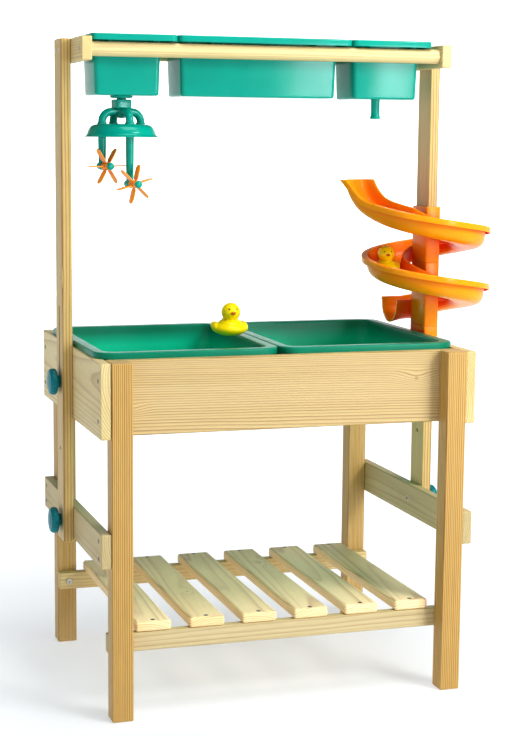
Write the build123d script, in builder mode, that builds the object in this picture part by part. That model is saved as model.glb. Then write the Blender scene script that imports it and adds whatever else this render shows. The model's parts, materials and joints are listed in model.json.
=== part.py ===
from build123d import *
import os
from math import cos, radians, sin

os.makedirs("parts", exist_ok=True)

# Sand and water table, in millimetres. A wooden stand carries two tubs; a rack above it
# carries three troughs, a shower with two water wheels, and a spiral slide on the right post.
# +Z is up, +Y points to the rear, and the origin is on the floor in the middle of the object's box.

# ---- Driving dimensions: the stand ----
table_width = 700.0        # over the legs' outer faces, left to right
table_depth = 560.0        # over the legs, front to rear
table_height = 672.0       # top of legs, boards and aprons
leg_side = 40.0
board_thick = 20.0         # every board, rail, slat, post and arm
board_tall = 140.0         # aprons and side boards
rail_tall = 65.0           # side rails
side_rail_base = 292.0
side_set_back = 3.0        # side boards and rails stop this far short of the legs' faces
shelf_rail_tall = 36.0
shelf_rail_base = 121.0
slat_count = 6
slat_width = 69.0
slat_pitch = 104.6
wood_edge = 2.5            # rounding of sawn edges
slat_edge = 5.0            # rounding of the shelf slats

# ---- Driving dimensions: the rack ----
post_width = 62.0
post_base = 286.0
post_top = 1260.0
lower_bolt_z = 326.0
upper_bolt_z = 602.0
height_step = 145.0        # the rack's second, lower position
arm_tall = 44.0
arm_front = 150.0          # from the front of the legs
arm_length = 198.0
dowel_radius = 14.0
dowel_z = 1238.0
dowel_front = 171.0        # from the front of the legs
dowel_gap = 156.0          # between the two dowels' centres
knob_radius = 25.5
knob_reach = 24.0          # from the post's outer face
running_gap = 0.3          # between faces of parts that move on each other

# ---- Driving dimensions: tubs and troughs ----
bin_width = 358.0
bin_length = 446.0
bin_depth = 130.0
bin_rim_tall = 12.0
bin_rim_wide = 18.0
bin_wall = 3.0
bin_play = -6.0            # both tubs sit against the left end of their play
trough_rim_deep = 186.0
trough_rim_tall = 13.0
trough_body_deep = 110.0
trough_tall = 112.0
trough_wall = 2.5
trough_widths = {"left": 166.0, "middle": 348.0, "right": 166.0}
trough_body_widths = {"left": 129.0, "middle": 317.0, "right": 139.0}
trough_body_shifts = {"left": -5.6, "middle": -3.3, "right": 0.0}   # body from the rim's middle
trough_spacing = 1.0
trough_start = 0.5         # the first trough's rim, from the left arm's inner face
trough_corner = 8.0
drain_bore = 6.0
shower_offset = (-6.5, -2.0)   # the left drain, from the middle of its trough

# ---- Driving dimensions: shower and water wheels ----
shower_turn = 10.0         # degrees, counter-clockwise from above
neck_radius = 9.0
fit_gap = 0.06             # radial clearance of pins and necks that turn
block_side = 31.0
block_low = 1112.0
block_top = 1147.0
arch_radius = 40.0         # from the shower's middle to the pipes
arch_tube = 7.5
arch_z = 1123.5
arch_bend = 17.0
dome_top = 1101.0
dome_rim_z = 1077.0
dome_radius = 71.5
dome_wall = 2.5
wheel_z = {"short": 1021.0, "long": 988.0}
wheel_radius = 38.0
wheel_from_pipe = 27.0
paddle_wide = 20.0
paddle_thick = 2.0
paddle_count = 6
axle_radius = 2.5

# ---- Driving dimensions: slide ----
slide_pitch = 119.0
slide_rim_z = 891.0        # rim height where the channel points to the rear, on the right
channel_lip = 133.0        # radius of the outer lip
channel_out = 123.0        # radius of the outer wall at the rim
channel_in = 45.0          # radius of the inner rim
channel_deep = 44.0
channel_wall = 3.0
channel_lip_tall = 12.0
sleeve_wall = 4.0
sleeve_gap = 1.5
sleeve_top = 939.5
turn_step = 15             # degrees between sections of the channel
scoop_angle = -148.0       # where the channel leaves the helix for its straight entry scoop
scoop_flare = 15.0         # the lip's extra reach at the scoop's mouth
# The scoop's sections: distance from its start, rise of the rim, depth, and lean in degrees.
scoop_sections = (
    (30.0, 6.0, 41.0, 11.0),
    (55.0, 12.0, 37.0, 24.0),
    (72.0, 19.0, 34.5, 35.0),
    (86.0, 31.0, 32.5, 46.0),
    (96.0, 44.0, 30.0, 60.0),
    (103.0, 56.0, 28.0, 90.0),
)
# The outlet's sections: distance past the helix, drop of the floor, flare of the sides.
outlet_sections = ((15.0, 0.0, 0.0), (30.0, 3.0, 1.0), (44.0, 7.0, 3.0))

# ---- Positions worked out from the driving dimensions ----
knob_side = table_width / 2 + 2 * board_thick + knob_reach
post_middle = table_width / 2 + 1.5 * board_thick
slide_side = post_middle + channel_lip
table_x = -(slide_side - knob_side) / 2
left = table_x - table_width / 2
right = table_x + table_width / 2
front = -table_depth / 2
rear = table_depth / 2
board_base = table_height - board_tall
shelf_top = shelf_rail_base + shelf_rail_tall
apron_front = front + leg_side
apron_rear = rear - leg_side
slide_x = table_x + post_middle

TURNS = {"x": (0, 90, 0), "y": (90, 0, 0), "z": (0, 0, 0)}
UNIT = {"x": (1, 0, 0), "y": (0, 1, 0), "z": (0, 0, 1)}
holes = []                 # every hole in the wood: (centre, axis, radius, length)


def save(piece, name):
    piece.part.label = name
    export_step(piece.part, f"parts/{name}.step")


def along(point, axis, distance):
    return tuple(p + u * distance for p, u in zip(point, UNIT[axis]))


def bore_from(point, axis, sense, radius, length):
    """Note a hole that starts a little outside a face at point and runs in for length."""
    start = along(point, axis, -sense * 1.0)
    centre = along(start, axis, sense * (length + 1.0) / 2)
    holes.append((centre, axis, radius, length + 1.0))


def hole_touches(hole, low, high):
    centre, axis, radius, length = hole
    for index, name in enumerate("xyz"):
        reach = length / 2 if name == axis else radius
        if centre[index] + reach <= low[index] + 0.01 or centre[index] - reach >= high[index] - 0.01:
            return False
    return True


# ---- Fasteners: where they sit, and the holes that they need ----
screw_shank = 2.0
screw_head = 4.3
screw_sunk = 0.8
screw_proud = 0.4
side_screws = []
for x, sense in ((left - board_thick, 1), (right + board_thick, -1)):
    for y in (front + 24.0, rear - 24.0):
        for z in (board_base + 32.0, table_height - 34.0, side_rail_base + 16.0, side_rail_base + 49.0):
            side_screws.append(((x, y, z), "x", sense, 44.0))

slat_xs = [table_x + (i - (slat_count - 1) / 2) * slat_pitch for i in range(slat_count)]
slat_top = shelf_top + board_thick
slat_screws = []
for x in slat_xs:
    for y in (apron_front + board_thick / 2, apron_rear - board_thick / 2):
        slat_screws.append(((x, y, slat_top), "z", -1, 42.0))

post_y = 0.0
rack_screws = []
dowel_ys = (front + dowel_front, front + dowel_front + dowel_gap)
for post_face, arm_face, sense in (
    (left - 2 * board_thick, left - board_thick, 1),
    (right + 2 * board_thick, right + board_thick, -1),
):
    for y in (post_y - 15.0, post_y + 15.0):
        rack_screws.append(((post_face, y, dowel_z), "x", sense, 36.0))
    for y in dowel_ys:
        rack_screws.append(((arm_face, y, dowel_z), "x", sense, 44.0))

bolt_head = 5.75
bolt_head_tall = 4.0
bolt_shank = 3.0
frame_bolts = []
for x in (left + leg_side / 2, right - leg_side / 2):
    for face, sense in ((apron_front + board_thick, -1), (apron_rear - board_thick, 1)):
        for z in (board_base + 50.0, board_base + 90.0, shelf_rail_base + shelf_rail_tall / 2):
            frame_bolts.append(((x, face, z), "y", sense, 46.0))

for point, axis, sense, length in side_screws + slat_screws + rack_screws:
    bore_from(point, axis, sense, screw_head + 0.1, screw_sunk)
    bore_from(point, axis, sense, screw_shank + 0.05, length)
for point, axis, sense, length in frame_bolts:
    bore_from(point, axis, sense, bolt_shank + 0.1, length)

knob_bolt_radius = 4.0
knob_hole_radius = 4.5
nut_barrel = 6.0
nut_barrel_long = 13.0
bolt_end_sunk = 4.0        # the knob bolts end this far inside the nuts' open faces
knob_places = {}
for side, face, sense in (("left", left, -1), ("right", right, 1)):
    for level, z in (("lower", lower_bolt_z), ("upper", upper_bolt_z)):
        knob_places[f"{level}_{side}"] = ((face, post_y, z), sense)
for (x, y, z), sense in knob_places.values():
    bore_from((x, y, z), "x", sense, nut_barrel + 0.1, nut_barrel_long)
    bore_from((x, y, z), "x", sense, knob_hole_radius, 2 * board_thick + 2.0)


# ---- Wood ----
def board(name, low, high, edge=wood_edge, slot=None):
    """A board with rounded edges and every fastener hole that reaches it."""
    size = [b - a for a, b in zip(low, high)]
    middle = tuple((a + b) / 2 for a, b in zip(low, high))
    with BuildPart() as piece:
        with Locations(middle):
            Box(*size)
        fillet(piece.edges(), edge)
        for hole in holes:
            if hole_touches(hole, low, high):
                centre, axis, radius, length = hole
                with Locations(Location(centre, TURNS[axis])):
                    Cylinder(radius, length, mode=Mode.SUBTRACT)
        if slot:
            slot_low, slot_high = slot
            with BuildSketch(Plane.YZ.offset(low[0] - 1.0)):
                with Locations((middle[1], (slot_low + slot_high) / 2)):
                    SlotCenterToCenter(slot_high - slot_low, 2 * knob_hole_radius, rotation=90)
            extrude(amount=size[0] + 2.0, mode=Mode.SUBTRACT)
    save(piece, name)


for side, x in (("left", left), ("right", right - leg_side)):
    for end, y in (("front", front), ("rear", rear - leg_side)):
        board(f"leg_{end}_{side}", (x, y, 0), (x + leg_side, y + leg_side, table_height))

for end, y in (("front", apron_front), ("rear", apron_rear - board_thick)):
    board(f"apron_{end}", (left, y, board_base), (right, y + board_thick, table_height))
    board(f"shelf_rail_{end}", (left, y, shelf_rail_base), (right, y + board_thick, shelf_top))

for side, x in (("left", left - board_thick), ("right", right)):
    low_y = front + side_set_back
    high_y = rear - side_set_back
    board(f"side_board_{side}", (x, low_y, board_base), (x + board_thick, high_y, table_height))
    rail_top = side_rail_base + rail_tall
    board(f"side_rail_{side}", (x, low_y, side_rail_base), (x + board_thick, high_y, rail_top))

for i, x in enumerate(slat_xs):
    low = (x - slat_width / 2, apron_front, shelf_top)
    high = (x + slat_width / 2, apron_rear, slat_top)
    board(f"shelf_slat_{i + 1}", low, high, edge=slat_edge)

for side, post_x, arm_x in (
    ("left", left - 2 * board_thick, left - board_thick),
    ("right", right + board_thick, right),
):
    low = (post_x, post_y - post_width / 2, post_base)
    high = (post_x + board_thick, post_y + post_width / 2, post_top)
    spare_hole = (post_x + board_thick / 2, post_y, lower_bolt_z + height_step)
    holes.append((spare_hole, "x", knob_hole_radius, board_thick + 2.0))
    board(f"post_{side}", low, high, slot=(upper_bolt_z, upper_bolt_z + height_step))
    low = (arm_x, front + arm_front, post_top - arm_tall)
    high = (arm_x + board_thick, front + arm_front + arm_length, post_top)
    board(f"rack_arm_{side}", low, high)

for end, y in zip(("front", "rear"), dowel_ys):
    with BuildPart() as dowel:
        with BuildSketch(Plane.YZ.offset(left)):
            with Locations((y, dowel_z)):
                Circle(dowel_radius)
        extrude(amount=table_width)
        chamfer(dowel.edges().filter_by(GeomType.CIRCLE), 0.8)
        for hole in holes:
            if hole_touches(hole, (left, y - 1, dowel_z - 1), (right, y + 1, dowel_z + 1)):
                centre, axis, radius, length = hole
                with Locations(Location(centre, TURNS[axis])):
                    Cylinder(radius, length, mode=Mode.SUBTRACT)
    save(dowel, f"dowel_{end}")


# ---- Fasteners ----
def screw_group(name, places):
    """Flat-headed screws with a cross recess, as separate solids in one node."""
    with BuildPart() as group:
        for point, axis, sense, length in places:
            inward = tuple(sense * u for u in UNIT[axis])
            seat = Plane(origin=point, z_dir=inward)
            with Locations(seat.offset(-screw_proud)):
                Cylinder(screw_head, screw_proud + screw_sunk, align=(Align.CENTER, Align.CENTER, Align.MIN))
            with Locations(seat):
                Cylinder(screw_shank, length - 1.0, align=(Align.CENTER, Align.CENTER, Align.MIN))
            with Locations(seat.offset(-screw_proud)):
                Box(4.6, 1.0, 1.4, mode=Mode.SUBTRACT)
                Box(1.0, 4.6, 1.4, mode=Mode.SUBTRACT)
    save(group, name)


screw_group("side_screws", side_screws)
screw_group("slat_screws", slat_screws)
screw_group("rack_screws", rack_screws)

with BuildPart() as bolts:
    for point, axis, sense, length in frame_bolts:
        seat = Plane(origin=point, z_dir=tuple(sense * u for u in UNIT[axis]))
        with Locations(seat.offset(-bolt_head_tall)):
            Cylinder(bolt_head, bolt_head_tall, align=(Align.CENTER, Align.CENTER, Align.MIN))
        with Locations(seat):
            Cylinder(bolt_shank, length - 1.0, align=(Align.CENTER, Align.CENTER, Align.MIN))
        with BuildSketch(seat.offset(-bolt_head_tall)):
            RegularPolygon(2.4, 6)
        extrude(amount=2.6, mode=Mode.SUBTRACT)
save(bolts, "frame_bolts")

with BuildPart() as nuts:
    for point, sense in knob_places.values():
        seat = Plane(origin=point, z_dir=(sense, 0, 0))
        with Locations(seat.offset(0.3)):
            Cylinder(nut_barrel, nut_barrel_long - 0.5, align=(Align.CENTER, Align.CENTER, Align.MIN))
        with Locations(seat):
            Cylinder(knob_bolt_radius + fit_gap, 4 * nut_barrel_long, mode=Mode.SUBTRACT)
save(nuts, "insert_nuts")

# Each knob is a round cap on a narrower neck, moulded over the head of its own bolt.
knob_neck_radius = 12.0
knob_neck_long = 6.0
for place, (point, sense) in knob_places.items():
    outer = 2 * board_thick + running_gap
    seat = Plane(origin=point, z_dir=(sense, 0, 0))
    cap_long = knob_reach - running_gap - knob_neck_long
    with BuildPart() as knob:
        with Locations(seat.offset(outer)):
            Cylinder(knob_neck_radius, knob_neck_long + 2, align=(Align.CENTER, Align.CENTER, Align.MIN))
        with BuildSketch(seat.offset(outer + knob_neck_long)):
            Circle(knob_radius)
        extrude(amount=cap_long)
        rims = knob.edges().filter_by(GeomType.CIRCLE).group_by(SortBy.RADIUS)[-1].sort_by(Axis.X)
        fillet(rims[0 if sense < 0 else -1], 6.0)
        inner_rims = knob.edges().filter_by(GeomType.CIRCLE).group_by(SortBy.RADIUS)[-1]
        fillet(inner_rims, 2.0)
        with Locations(seat.offset(outer)):
            Cylinder(knob_bolt_radius, 14.0, align=(Align.CENTER, Align.CENTER, Align.MIN), mode=Mode.SUBTRACT)
    save(knob, f"knob_{place}")
    with BuildPart() as bolt:
        with Locations(seat.offset(bolt_end_sunk)):
            bolt_long = outer + 14.0 - bolt_end_sunk
            Cylinder(knob_bolt_radius, bolt_long, align=(Align.CENTER, Align.CENTER, Align.MIN))
        chamfer(bolt.edges().filter_by(GeomType.CIRCLE), 0.6)
    save(bolt, f"knob_bolt_{place}")


# ---- Tubs and troughs ----
def tub(name, middle, rim_size, rim_low, rim_tall, rim_radius, body_top, body_low, floor_z, body_radius, wall,
        toe=6.0, shift=0.0, drain=None, drain_at=(0.0, 0.0), rest_ribs=()):
    """A tapered tub with a flat rim, a skirt that hangs from the rim, and an open top."""
    body_middle = (middle[0] + shift, middle[1])
    rim_x, rim_y = rim_size
    rim_top = rim_low + rim_tall
    with BuildPart() as vessel:
        with BuildSketch(Plane.XY.offset(rim_low)):
            with Locations(middle):
                RectangleRounded(rim_x, rim_y, rim_radius)
        extrude(amount=rim_tall)
        fillet(vessel.faces().sort_by(Axis.Z)[-1].edges(), 3.0)
        with BuildSketch(Plane.XY.offset(rim_low - 1.0)):
            with Locations(middle):
                RectangleRounded(rim_x - 2 * wall, rim_y - 2 * wall, rim_radius - wall)
        extrude(amount=rim_tall - wall + 1.0, mode=Mode.SUBTRACT)
        with BuildSketch(Plane.XY.offset(rim_top - 0.5)):
            with Locations(body_middle):
                RectangleRounded(body_top[0], body_top[1], body_radius)
        with BuildSketch(Plane.XY.offset(floor_z)):
            with Locations(body_middle):
                RectangleRounded(body_low[0], body_low[1], body_radius)
        loft()
        fillet(vessel.faces().sort_by(Axis.Z)[0].edges(), toe)
        for rib_x, rib_y, rib_long, rib_base in rest_ribs:
            with Locations((body_middle[0] + rib_x, middle[1] + rib_y, (rib_base + rim_top - wall) / 2)):
                Box(wall, rib_long, rim_top - wall - rib_base + 0.4)
        with BuildSketch(Plane.XY.offset(rim_top + 1.0)):
            with Locations(body_middle):
                RectangleRounded(body_top[0] - 2 * wall, body_top[1] - 2 * wall, body_radius - wall)
        with BuildSketch(Plane.XY.offset(floor_z + wall)):
            with Locations(body_middle):
                RectangleRounded(body_low[0] - 2 * wall, body_low[1] - 2 * wall, body_radius - wall)
        loft(mode=Mode.SUBTRACT)
        if drain:
            with Locations((middle[0] + drain_at[0], middle[1] + drain_at[1], floor_z)):
                Cylinder(drain, 6 * wall, mode=Mode.SUBTRACT)
    save(vessel, name)


bin_floor = table_height - bin_depth
bin_middles = {
    "left": (table_x + bin_play - 1.0 - bin_width / 2, 0.0),
    "right": (table_x + bin_play + 1.0 + bin_width / 2, 0.0),
}
bin_top_size = (bin_width - 2 * bin_rim_wide, bin_length - 2 * bin_rim_wide)
bin_low_size = (bin_top_size[0] - 24.0, bin_top_size[1] - 24.0)
for side, middle in bin_middles.items():
    tub(f"bin_{side}", middle, (bin_width, bin_length), table_height, bin_rim_tall, 36.0,
        bin_top_size, bin_low_size, bin_floor, 26.0, bin_wall)

trough_y = (dowel_ys[0] + dowel_ys[1]) / 2
trough_rest = dowel_z + dowel_radius
trough_rim_low = trough_rest + 1.0
trough_floor = trough_rim_low + trough_rim_tall - trough_tall
trough_middles = {}
trough_x = left + trough_start
for place, width in trough_widths.items():
    trough_middles[place] = (trough_x + width / 2, trough_y)
    trough_x += width + trough_spacing
rib_long = (trough_rim_deep - trough_body_deep) / 2 - 4.0
rib_y = trough_rim_deep / 2 - 2.0 - rib_long / 2
for place, width in trough_widths.items():
    body_wide = trough_body_widths[place]
    ribs = []
    for rib_x in (-body_wide / 3, body_wide / 3):
        ribs += [(rib_x, -rib_y, rib_long, trough_rest + 0.3), (rib_x, rib_y, rib_long, trough_rest + 0.3)]
    tub(f"trough_{place}", trough_middles[place], (width, trough_rim_deep), trough_rim_low, trough_rim_tall, 12.0,
        (body_wide, trough_body_deep), (body_wide - 6.0, trough_body_deep - 8.0), trough_floor, trough_corner,
        trough_wall, toe=4.0, shift=trough_body_shifts[place], drain=None if place == "middle" else neck_radius,
        drain_at=shower_offset if place == "left" else (0.0, 0.0), rest_ribs=ribs)

# The left trough's drain: a flanged neck through the floor, with a nut below it.
shower_x = trough_middles["left"][0] + shower_offset[0]
shower_y = trough_middles["left"][1] + shower_offset[1]
nut_tall = 4.5
with BuildPart() as drain_neck:
    with BuildSketch(Plane.XY.offset(block_top - 12.0)):
        with Locations((shower_x, shower_y)):
            Circle(neck_radius)
    extrude(until=None, amount=trough_floor + trough_wall + 2.0 - (block_top - 12.0))
    with BuildSketch(Plane.XY.offset(trough_floor + trough_wall)):
        with Locations((shower_x, shower_y)):
            Circle(15.0)
    extrude(amount=2.0)
    with Locations((shower_x, shower_y, trough_floor)):
        Cylinder(drain_bore, 80.0, mode=Mode.SUBTRACT)
save(drain_neck, "drain_neck")

with BuildPart() as drain_nut:
    with BuildSketch(Plane.XY.offset(trough_floor - nut_tall)):
        with Locations((shower_x, shower_y)):
            Circle(21.5)
            Circle(neck_radius, mode=Mode.SUBTRACT)
    extrude(amount=nut_tall)
    chamfer(drain_nut.faces().sort_by(Axis.Z)[0].outer_wire().edges(), 1.2)
save(drain_nut, "drain_nut")

# The right trough's spout: a short tube, flanged inside the trough and a little flared at its mouth.
spout_x, spout_y = trough_middles["right"]
spout_long = 38.0
with BuildPart() as spout:
    with BuildSketch(Plane.XZ.offset(-spout_y)):
        with BuildLine():
            inside = spout_x + drain_bore
            body = spout_x + neck_radius
            top = trough_floor + trough_wall
            mouth = trough_floor - spout_long
            Polyline((inside, top + 2.0), (spout_x + 15.0, top + 2.0), (spout_x + 15.0, top), (body, top),
                     (body, mouth + 6.0), (body + 1.2, mouth), (inside + 1.2, mouth), (inside, mouth + 6.0),
                     close=True)
        make_face()
    revolve(axis=Axis((spout_x, spout_y, 0), (0, 0, 1)))
save(spout, "spout")


# ---- Shower and water wheels ----
turn = radians(shower_turn)
side_way = (cos(turn), sin(turn), 0.0)
axle_way = (sin(turn), -cos(turn), 0.0)


def shower_plane(degrees_round, z=0.0):
    """The upright plane through the shower's middle whose local x points outward at an angle."""
    angle = turn + radians(degrees_round)
    outward = (cos(angle), sin(angle), 0.0)
    normal = (sin(angle), -cos(angle), 0.0)
    return Plane(origin=(shower_x, shower_y, z), x_dir=outward, z_dir=normal)


with BuildPart() as coupling:
    with BuildSketch(Plane(origin=(shower_x, shower_y, block_low), x_dir=side_way, z_dir=(0, 0, 1))):
        RectangleRounded(block_side, block_side, 3.0)
    extrude(amount=block_top - block_low)
    for quarter in range(4):
        plane = shower_plane(90 * quarter)
        with BuildLine(plane) as path:
            run = Line((8.0, arch_z), (arch_radius - arch_bend, arch_z))
            bend = JernArc(run @ 1, run % 1, arch_bend, -90)
            Line(bend @ 1, (arch_radius, dome_top))
        with BuildSketch(Plane(origin=path.wires()[0] @ 0, z_dir=path.wires()[0] % 0)):
            Circle(arch_tube)
        sweep(path=path.wires()[0])
    for quarter in range(4):
        plane = shower_plane(90 * quarter)
        with BuildLine(plane) as path:
            run = Line((0.0, arch_z), (arch_radius - arch_bend, arch_z))
            bend = JernArc(run @ 1, run % 1, arch_bend, -90)
            Line(bend @ 1, (arch_radius, dome_top))
        with BuildSketch(Plane(origin=path.wires()[0] @ 0, z_dir=path.wires()[0] % 0)):
            Circle(arch_tube - 2.5)
        sweep(path=path.wires()[0], mode=Mode.SUBTRACT)
    with Locations((shower_x, shower_y, block_top)):
        Cylinder(neck_radius + fit_gap, 26.0, mode=Mode.SUBTRACT)
    with Locations((shower_x, shower_y, arch_z)):
        Cylinder(5.0, 40.0, align=(Align.CENTER, Align.CENTER, Align.MIN), mode=Mode.SUBTRACT)
save(coupling, "shower_coupling")

with BuildPart() as dome:
    with BuildSketch(Plane.XZ.offset(-shower_y)):
        with BuildLine():
            Line((shower_x, dome_top), (shower_x + 44.0, dome_top))
            Spline((shower_x + 44.0, dome_top), (shower_x + 59.0, dome_top - 5.5),
                   (shower_x + 65.5, dome_rim_z + 6.0), (shower_x + dome_radius, dome_rim_z),
                   tangents=[(1, 0), (1, -0.35)])
            Line((shower_x + dome_radius, dome_rim_z), (shower_x + dome_radius - 2.0, dome_rim_z - 1.0))
            Spline((shower_x + dome_radius - 2.0, dome_rim_z - 1.0), (shower_x + 63.0, dome_rim_z + 3.5),
                   (shower_x + 58.5, dome_top - 7.5), (shower_x + 49.0, dome_top - dome_wall),
                   tangents=[(-1, 0.3), (-1, 0)])
            Line((shower_x + 49.0, dome_top - dome_wall), (shower_x, dome_top - dome_wall))
            Line((shower_x, dome_top - dome_wall), (shower_x, dome_top))
        make_face()
    revolve(axis=Axis((shower_x, shower_y, 0), (0, 0, 1)))
    for quarter in range(4):
        angle = turn + radians(90 * quarter)
        foot = (shower_x + arch_radius * cos(angle), shower_y + arch_radius * sin(angle), dome_top)
        with Locations(foot):
            Cylinder(arch_tube - 2.5, 12.0, mode=Mode.SUBTRACT)
save(dome, "shower_dome")

# The short pipe hangs under the left arch and the long one under the front arch.
pipe_angles = {"short": turn + radians(180), "long": turn - radians(90)}
hub_start = 9.0
hub_end = wheel_from_pipe + 11.0
cap_radius = 7.0
rear_cap_from_pipe = 16.0
pipe_feet = {}
for name, angle in pipe_angles.items():
    x = shower_x + arch_radius * cos(angle)
    y = shower_y + arch_radius * sin(angle)
    z = wheel_z[name]
    pipe_feet[name] = Vector(x, y, z)
    pipe_top = dome_top - dome_wall
    with BuildPart() as pipe:
        with BuildSketch(Plane.XY.offset(pipe_top)):
            with Locations((x, y)):
                Circle(8.0)
        with BuildSketch(Plane.XY.offset(z)):
            with Locations((x, y)):
                Circle(6.9)
        loft()
        foot = Plane(origin=(x, y, z), x_dir=side_way, z_dir=axle_way)
        with Locations(foot):
            Cylinder(7.0, 15.0)
        with Locations(foot):
            Cylinder(axle_radius, 40.0, mode=Mode.SUBTRACT)
        with Locations((x, y, pipe_top)):
            Cylinder(5.0, 2 * (pipe_top - z - 14.0), mode=Mode.SUBTRACT)
    save(pipe, f"down_pipe_{name}")

with BuildPart() as axles:
    for foot in pipe_feet.values():
        axis_plane = Plane(origin=foot, x_dir=side_way, z_dir=axle_way)
        long = rear_cap_from_pipe + hub_end + 3.0
        with Locations(axis_plane.offset(-rear_cap_from_pipe)):
            Cylinder(axle_radius, long, align=(Align.CENTER, Align.CENTER, Align.MIN))
save(axles, "wheel_axles")

with BuildPart() as caps:
    for foot in pipe_feet.values():
        axis_plane = Plane(origin=foot, x_dir=side_way, z_dir=axle_way)
        for start, long in ((-rear_cap_from_pipe, 8.0), (hub_end + 0.5, 7.0)):
            with BuildSketch(axis_plane.offset(start)):
                Circle(cap_radius)
                Circle(axle_radius, mode=Mode.SUBTRACT)
            extrude(amount=long)
    fillet(caps.edges().filter_by(GeomType.CIRCLE).group_by(SortBy.RADIUS)[-1], 2.2)
save(caps, "axle_caps")

paddle_first = {"short": 0.0, "long": 15.0}
for name, foot in pipe_feet.items():
    axis_plane = Plane(origin=foot, x_dir=side_way, z_dir=axle_way)
    centre = foot + Vector(*axle_way) * wheel_from_pipe
    with BuildPart() as wheel:
        with Locations(axis_plane.offset(hub_start)):
            Cylinder(7.4, hub_end - hub_start, align=(Align.CENTER, Align.CENTER, Align.MIN))
        for k in range(paddle_count):
            angle = radians(paddle_first[name] + 360 / paddle_count * k)
            outward = Vector(*side_way) * cos(angle) + Vector(0, 0, 1) * sin(angle)
            along_axle = Vector(*axle_way)
            with BuildSketch(Plane(origin=centre, x_dir=outward, z_dir=outward.cross(along_axle))):
                with Locations((wheel_radius / 2 + 2.5, 0)):
                    RectangleRounded(wheel_radius - 5.0, paddle_wide, paddle_wide / 2 - 0.5)
            extrude(amount=paddle_thick / 2, both=True)
        with Locations(axis_plane):
            Cylinder(axle_radius + fit_gap, 120.0, mode=Mode.SUBTRACT)
    save(wheel, f"water_wheel_{name}")


# ---- Slide ----
def rim_height(degrees_round):
    """The channel falls evenly along the helix, and a little more steeply towards its entry."""
    if degrees_round >= 0:
        return slide_rim_z - slide_pitch * degrees_round / 360.0
    climb = -degrees_round / 180.0
    return slide_rim_z + 44.0 * climb + 15.0 * climb ** 2


def channel_outline(deep=channel_deep, lip=channel_lip, lip_tall=channel_lip_tall, flare=0.0):
    """The channel's section as (radius, height below the rim)."""
    out = channel_out + flare
    inn = channel_in - flare
    wall = channel_wall
    lip_top = [(lip, -lip_tall), (lip, 0.0)]
    inside = [(out - wall, 0.0), (out - wall - 3.0, -0.64 * deep), (out - wall - 14.0, -0.88 * deep),
              (out - 37.0, -deep + wall), (inn + 17.0, -0.96 * deep + wall),
              (inn + wall + 7.0, -0.78 * deep), (inn + wall + 2.0, -0.5 * deep), (inn + wall, 0.0)]
    inner_rim = [(inn - 1.5, 0.0), (inn - 1.5, -4.0), (inn, -5.0)]
    under = [(inn + 2.0, -0.57 * deep), (inn + 7.0, -0.84 * deep), (inn + 17.0, -0.98 * deep),
             (out - 37.0, -deep - 0.2), (out - 13.0, -0.97 * deep), (out - 2.5, -0.64 * deep),
             (out, -wall - 1.0)]
    skirt = [(lip - wall, -wall - 1.0), (lip - wall, -lip_tall)]
    return lip_top + inside + inner_rim + under + skirt


def section_plane(degrees_round, shift=0.0, rise=0.0, lean=0.0):
    """An upright plane across the channel; it can move along the channel, rise, and lean."""
    angle = radians(degrees_round)
    outward = Vector(cos(angle), sin(angle), 0)
    onward = Vector(-sin(angle), cos(angle), 0)
    up = onward * sin(radians(lean)) + Vector(0, 0, 1) * cos(radians(lean))
    origin = Vector(slide_x, 0, rim_height(degrees_round) + rise) + onward * shift
    return Plane(origin=origin, x_dir=outward, z_dir=outward.cross(up))


sleeve_inner = (board_thick + 2 * sleeve_gap, post_width + 2 * sleeve_gap)


def sleeve_outline(z):
    """The outline of the rectangular sleeve that slips over the right post."""
    with BuildSketch(Plane.XY.offset(z)) as outline:
        with Locations((slide_x, post_y)):
            RectangleRounded(sleeve_inner[0] + 2 * sleeve_wall, sleeve_inner[1] + 2 * sleeve_wall, 3.0)
    return outline.sketch


def channel_section(plane, outline):
    with BuildSketch(plane) as section:
        with BuildLine():
            Polyline(*outline, close=True)
        make_face()
    return section.sketch


def slide_section(name, first, last, low, high, rib_angles, scoop=False, outlet=False):
    """One moulding of the slide: a length of channel, its sleeve and the ribs between them."""
    sections = []
    if scoop:
        for shift, rise, deep, lean in reversed(scoop_sections):
            lip = channel_lip + scoop_flare * (lean / 90.0) ** 2
            plane = section_plane(scoop_angle, -shift, rise, lean)
            sections.append(channel_section(plane, channel_outline(deep, lip)))
        sections.append(channel_section(section_plane(scoop_angle), channel_outline()))
    for degrees_round in range(first, last + 1, turn_step):
        sections.append(channel_section(section_plane(degrees_round), channel_outline()))
    if outlet:
        for step, (shift, drop, flare) in enumerate(outlet_sections):
            lip = channel_lip - 3.0 * step + flare * 0.7
            outline = channel_outline(channel_deep + drop, lip, channel_lip_tall - 2.5 * step, flare)
            sections.append(channel_section(section_plane(last, shift), outline))
    with BuildPart() as moulding:
        loft(sections, ruled=True)
        extrude(sleeve_outline(low), amount=high - low)
        for degrees_round in rib_angles:
            rib_top = rim_height(degrees_round) - 6.0
            rib_low = rib_top - 26.0
            reach = channel_in + 4.5
            angle = radians(degrees_round)
            rib_plane = Plane(origin=(slide_x, 0, rib_low), x_dir=(cos(angle), sin(angle), 0), z_dir=(0, 0, 1))
            with BuildSketch(rib_plane):
                with Locations((reach / 2, 0)):
                    Rectangle(reach, 4.0)
            extrude(amount=rib_top - rib_low)
        with Locations((slide_x, post_y, (low + high) / 2)):
            Box(*sleeve_inner, high - low + 60.0, mode=Mode.SUBTRACT)
    save(moulding, name)


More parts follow.
